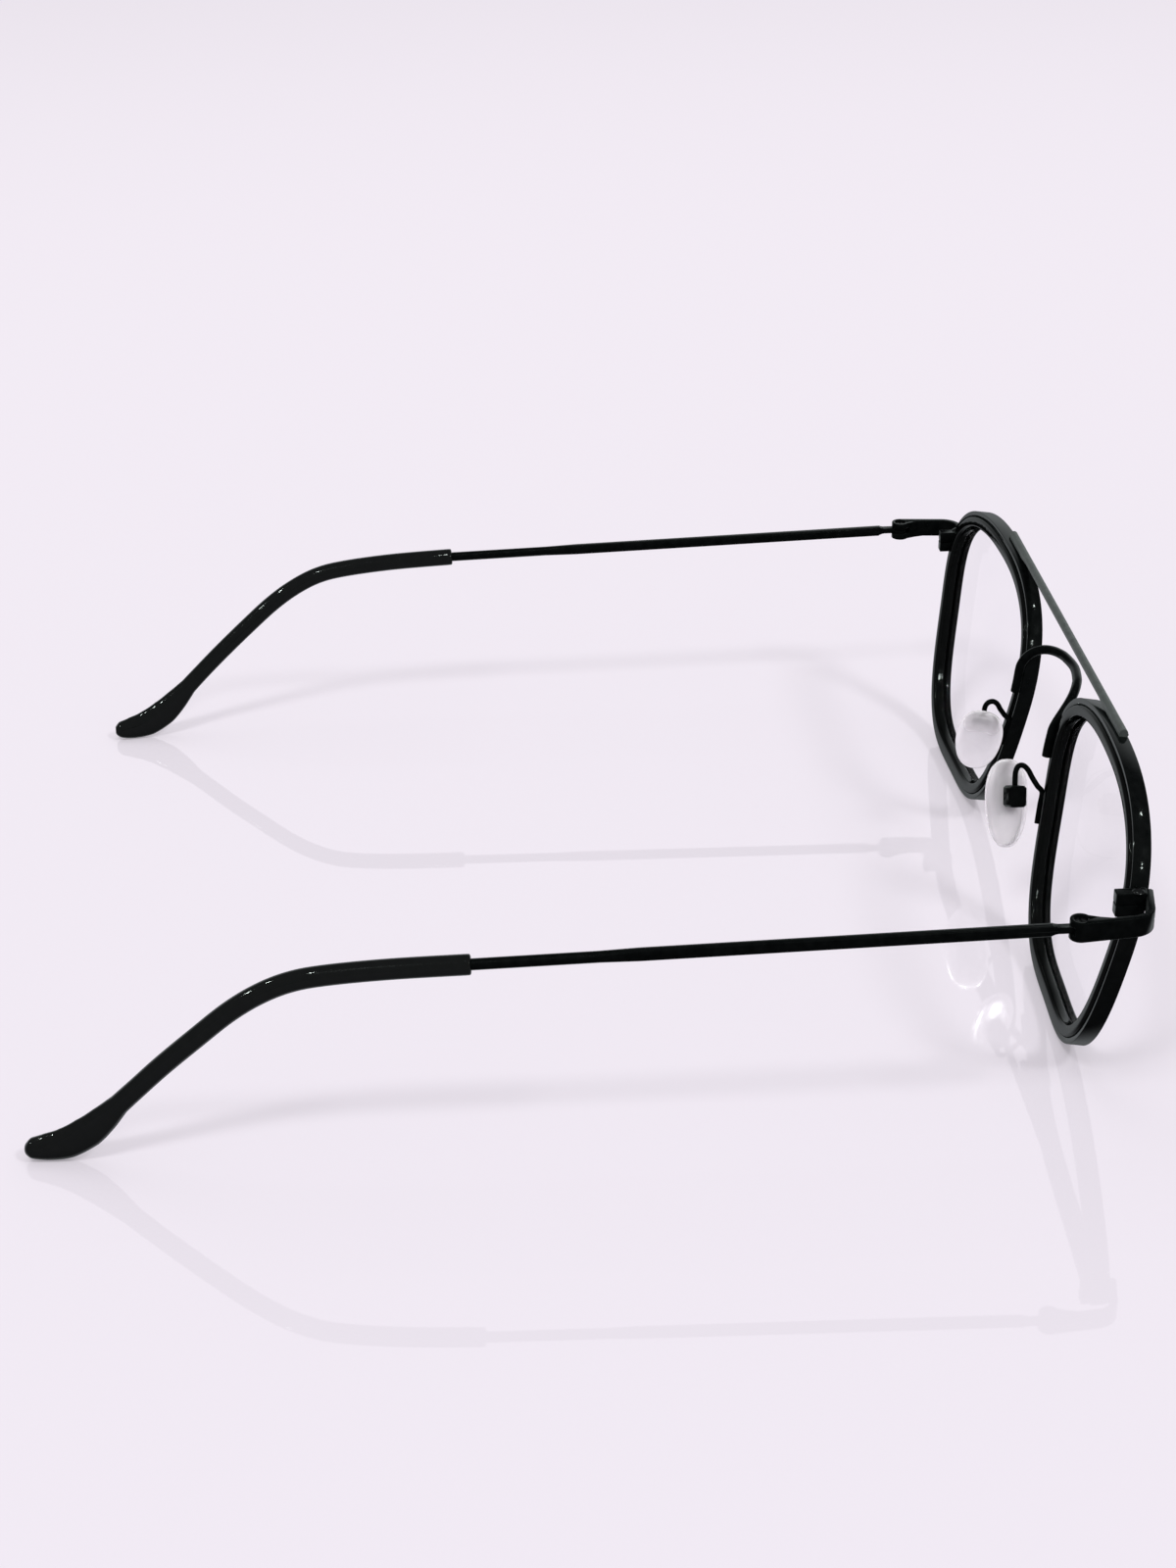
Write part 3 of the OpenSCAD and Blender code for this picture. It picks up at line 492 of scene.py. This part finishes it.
def band_top(x, y):
    """Height of the band's outer face under the bar at a distance from the mid plane."""
    u = abs(x) - LENS_X
    low, high = (90.0, 170.0) if u < 0 else (10.0, 90.0)
    for _ in range(30):
        a = (low + high) / 2
        if (outline(a)[0] > u) == (u < 0):
            low = a
        else:
            high = a
    v = outline(a)[1]
    back = (y - rim_at(vec(u, v), 0)[1]) / N_DIR[1]
    return rim_at(vec(u, v), back)[2]


def bar_mesh():
    """Rings along the rod; points of the lower half drop towards the band where it is close."""
    _, y, z = bar_seat
    stops = [BAR_HALF * t for t in BAR_NEAR_END]
    stops += [BAR_HALF - BAR_END - BAR_STEP * k for k in range(BAR_STEPS)]
    rings = []
    for x in sorted(set([round(q, 4) for q in stops] + [round(-q, 4) for q in stops])):
        over = z - band_top(x, y)
        near = max(0.0, min(1.0, (1.5 * BAR_R + BAR_FILLET - over) / BAR_FILLET))
        ring = []
        for j in range(BAR_SIDES):
            a = 2 * math.pi * j / BAR_SIDES
            c, s = math.cos(a), math.sin(a)
            reach = BAR_R
            if s < 0 and near > 0:
                reach = BAR_R * (1 + near * BAR_FILLET_DEEP * (-s) ** 0.5 * abs(c) ** 0.5)
            ring.append(vec(x, y + c * reach, z + s * reach))
        rings.append(ring)
    return skin(rings)


# The bar is the same on both sides; -1 turns its faces outwards
add_skin("brow_bar_skin", bar_mesh(), -1, "front", ["brow_bar"], BAR)

# Nose pads and their arms
PAD_MID = vec(PAD_X, -PAD_SET, MID_Z - PAD_DROP)
BOX_X = PAD_T / 2 + BOX_GAP + BOX_D / 2


def pad_point(p):
    """Point given in the pad's own directions: out through the box, back, and up."""
    x = p[0] * math.cos(PAD_LEAN) - p[2] * math.sin(PAD_LEAN)
    z = p[0] * math.sin(PAD_LEAN) + p[2] * math.cos(PAD_LEAN)
    y = p[1] * math.cos(PAD_TURN) - x * math.sin(PAD_TURN)
    x = x * math.cos(PAD_TURN) + p[1] * math.sin(PAD_TURN)
    return PAD_MID + vec(x, y * math.cos(TILT) - z * math.sin(TILT),
                         y * math.sin(TILT) + z * math.cos(TILT))


def pad_mesh():
    """Oval silicone pad, soft at its rim, flatter on the side of the box."""
    angles = [2 * math.pi * j / PAD_SIDES for j in range(PAD_SIDES)]

    def level(q, x):
        return [pad_point((-x * PAD_T / 2,
                           q * PAD_W / 2 * power(math.cos(a), PAD_ROUND_W) * (1 + PAD_EGG * math.sin(a)),
                           q * PAD_H / 2 * power(math.sin(a), PAD_ROUND_H))) for a in angles]

    return skin([level(q, x) for q, x in PAD_LEVELS])


def arm_leg(a):
    return rim_at(outline(180 - a) + vec(BAND_T / 2, 0), ARM_R - BAR_SINK / 2)


box_top = pad_point((BOX_X, 0, BOX_UP + BOX_H / 2))
arm_points = [arm_leg(a) for a in ARM_LEGS] + [box_top + vec(*d) for d in ARM_BENDS]

for tag, side in SIDES:
    add_skin(tag + "pad_skin", pad_mesh(), side, tag + "pad", [tag + "nose_pad"], PAD, 60)
    dress(nodes[tag + "pad_insert"], INSERT)
    arm_wire = wire(spline(arm_points, ARM_STEPS), ARM_R, vec(1, 0, 0.1), ARM_SIDES)
    add_skin(tag + "arm_skin", arm_wire, side, "front", [tag + "pad_arm"], SATIN)

# Tip sleeves
ear_scale = (HINGE_Z - PADDLE_REST * PADDLE_R) / EAR_DROP
sleeve_points = [vec(HINGE_X - LEAN_IN * SLEEVE_START, SLEEVE_START, HINGE_Z - SLOPE * SLEEVE_START)]
sleeve_points += [vec(HINGE_X + a, b, HINGE_Z + ear_scale * c) for a, b, c in EAR]


def paddle_at(i):
    """How far the sleeve has widened towards its paddle at a step of its path."""
    t = i / SLEEVE_STEPS
    k = min(int(t), len(PADDLE) - 2)
    return PADDLE[k] + (PADDLE[k + 1] - PADDLE[k]) * (t - k)


def sleeve_mesh():
    """From inside the bore out over the rounded lip and along to the paddle's end."""
    route = spline(sleeve_points, SLEEVE_STEPS)

    def ring(i, ra, rb):
        return ring_at(route[i], dir_at(route, i), vec(1, 0, 0), ra, rb, SLEEVE_SIDES)

    bore = WIRE_R + WIRE_PLAY
    rings = [ring(i, bore, bore) for i in range(2 * SLEEVE_STEPS, -1, -1)]
    lip = dir_at(route, 0) / np.linalg.norm(dir_at(route, 0))
    for back, less in SLEEVE_LIP:
        r = SLEEVE_R - less
        rings.append(ring_at(route[0] + back * lip, lip, vec(1, 0, 0), r, r, SLEEVE_SIDES))
    for i in range(1, len(route)):
        half_w = SLEEVE_R + (PADDLE_R - SLEEVE_R) * paddle_at(i)
        rings.append(ring(i, min(SLEEVE_R, half_w), half_w))
    return skin(rings)


for tag, side in SIDES:
    add_skin(tag + "sleeve_skin", sleeve_mesh(), side, tag + "temple",
             [tag + "tip_sleeve"], SLEEVE, 50)


# CAD nodes that stay, with softened edges
def soften(ob, width):
    weld = ob.modifiers.new("weld", "WELD")
    weld.merge_threshold = WELD
    bevel = ob.modifiers.new("edges", "BEVEL")
    bevel.width = width / 1000
    bevel.segments = SOFT_SEGMENTS
    bevel.limit_method = "ANGLE"
    bevel.angle_limit = SOFT_ANGLE
    bevel.harden_normals = True
    bevel.use_clamp_overlap = True
    for polygon in ob.data.polygons:
        polygon.use_smooth = True


for tag, _ in SIDES:
    for name, width, material in (
            ("end_piece", 0.18, SATIN), ("upper_block", 0.15, SATIN), ("lower_block", 0.15, SATIN),
            ("pad_box", 0.15, SATIN), ("temple", 0.05, SATIN), ("closing_screw", 0.05, SCREW),
            ("hinge_screw", 0.05, SCREW), ("pad_screw", 0.05, SCREW)):
        ob = nodes[tag + name]
        dress(ob, material)
        soften(ob, width)

# Floor: it mirrors at a slant and not face on, so that no lamp shows in it from above, and is a little
# lighter away from the lamps and glows faintly where it is seen, so that it looks even
FLOOR_HALF = 4
FLOOR_NEAR, FLOOR_FAR = (0.73, 0.694, 0.75), (0.945, 0.902, 0.96)
FLOOR_GLOW, GLOW_SHARE, LIT_SPOT = (0.871, 0.823, 0.888, 1), 0.36, (-0.30, -0.10, 0)

floor_mesh = bpy.data.meshes.new("floor")
corners = ((-1, -1), (1, -1), (1, 1), (-1, 1))
floor_mesh.from_pydata([(FLOOR_HALF * x, FLOOR_HALF * y, 0) for x, y in corners], [], [(0, 1, 2, 3)])
floor = bpy.data.objects.new("floor", floor_mesh)
bpy.context.scene.collection.objects.link(floor)
material, tree = new_material("pale_floor")
distance = tree.nodes.new("ShaderNodeVectorMath")
distance.operation = "DISTANCE"
set_inputs(tree, distance, {0: add_node(tree, "TexCoord").outputs["Object"], 1: LIT_SPOT})
away = smooth_spread(tree, distance.outputs["Value"], 0.1, 0.9, 0, 1)
body = tree.nodes["Principled BSDF"]
set_inputs(tree, body, {"Specular IOR Level": 0.0, "Roughness": grain(tree, 60, 3, 0.6, 0.8, 6.0),
                        "Base Color": mix_colours(tree, away, FLOOR_NEAR, FLOOR_FAR)})
polish = add_node(tree, "BsdfGlossy", {"Color": (1, 1, 1, 1),
                                       "Roughness": grain(tree, 40, 3, 0.01, 0.03, 5.0)})
polished = mix_shaders(tree, by_slant(tree, 0.05, 0.8, 0, 0.26),
                       body.outputs["BSDF"], polish.outputs["BSDF"])
glow = add_node(tree, "Emission", {"Color": FLOOR_GLOW})
share = calculate(tree, "MULTIPLY", seen(tree), GLOW_SHARE)
surface(tree, mix_shaders(tree, share.outputs["Value"], polished, glow.outputs["Emission"]))
dress(floor, material)

# World: where it is seen past the floor or mirrored, it is as pale as the floor
WORLD_LIGHT, WORLD_SEEN = 0.64, 0.95
world = bpy.data.worlds.new("studio")
bpy.context.scene.world = world
world.use_nodes = True
tree = world.node_tree
strength = spread(tree, seen(tree), 0, 1, WORLD_LIGHT, WORLD_SEEN)
set_inputs(tree, tree.nodes["Background"], {"Color": (0.87, 0.83, 0.88, 1),
                                            "Strength": strength.outputs["Result"]})


def lamp(name, place_at, aim_at, size, watts):
    """Square lamp that isn't seen itself."""
    data = bpy.data.lights.new(name, "AREA")
    data.shape = "RECTANGLE"
    data.size = data.size_y = size
    data.energy = watts
    ob = bpy.data.objects.new(name, data)
    bpy.context.scene.collection.objects.link(ob)
    ob.location = place_at
    ob.visible_camera = False
    ob.rotation_euler = (Vector(aim_at) - Vector(place_at)).to_track_quat("-Z", "Y").to_euler()
    return ob


# Light without a mirror image, for the shadows
SOFTBOXES = (("front", (-0.65, -0.82, 1.215), 7.6), ("back", (-0.65, 0.34, 1.215), 7.0))
SOFTBOX_SIZE, SOFTBOX_AIM = 0.24, (0, -0.04, 0)
for name, spot, watts in SOFTBOXES:
    lamp("softbox_" + name, spot, SOFTBOX_AIM, SOFTBOX_SIZE, watts).visible_glossy = False
lamp("overhead", (0.35, 0.0, 0.9), (0, 0, 0), 0.5, 1.0).visible_glossy = False

# Lamps that only draw highlights on the glasses, and leave the floor alone
GLINT_SPOTS = ((-0.317, -0.219, 0.306), (-0.377, -0.231, 0.309), (-0.009, 0.322, 0.224),
               (0.043, 0.301, 0.288), (0.07, -0.266, 0.425), (-0.30, 0.00, 0.62), (-0.16, 0.22, 0.52))
GLINT_SIZE, GLINT_AIM, GLINT_WATTS = 0.012, (0, -0.06, 0.02), 0.35
not_the_floor = bpy.data.collections.new("not_the_floor")
not_the_floor.objects.link(floor)
not_the_floor.collection_objects[0].light_linking.link_state = "EXCLUDE"
glints = [lamp("sheen_" + name, spot, SOFTBOX_AIM, SOFTBOX_SIZE, watts) for name, spot, watts in SOFTBOXES]
glints += [lamp("small_lamp_%d" % i, spot, GLINT_AIM, GLINT_SIZE, GLINT_WATTS)
           for i, spot in enumerate(GLINT_SPOTS)]
for ob in glints:
    ob.light_linking.receiver_collection = not_the_floor

# Camera at the photograph's place, from the fit to its points and outlines
CAMERA_AT, CAMERA_TURN = (-0.34742, 0.017169, 0.198766), (62.7084, 0.84855, -93.64416)
camera = bpy.data.objects.new("camera", bpy.data.cameras.new("camera"))
bpy.context.scene.collection.objects.link(camera)
camera.data.lens = 60.75
camera.data.sensor_width = 36
camera.data.clip_start = 0.01
camera.location = CAMERA_AT
camera.rotation_euler = Euler([math.radians(a) for a in CAMERA_TURN], "XYZ")
bpy.context.scene.camera = camera

bpy.context.scene.view_settings.view_transform = "Standard"
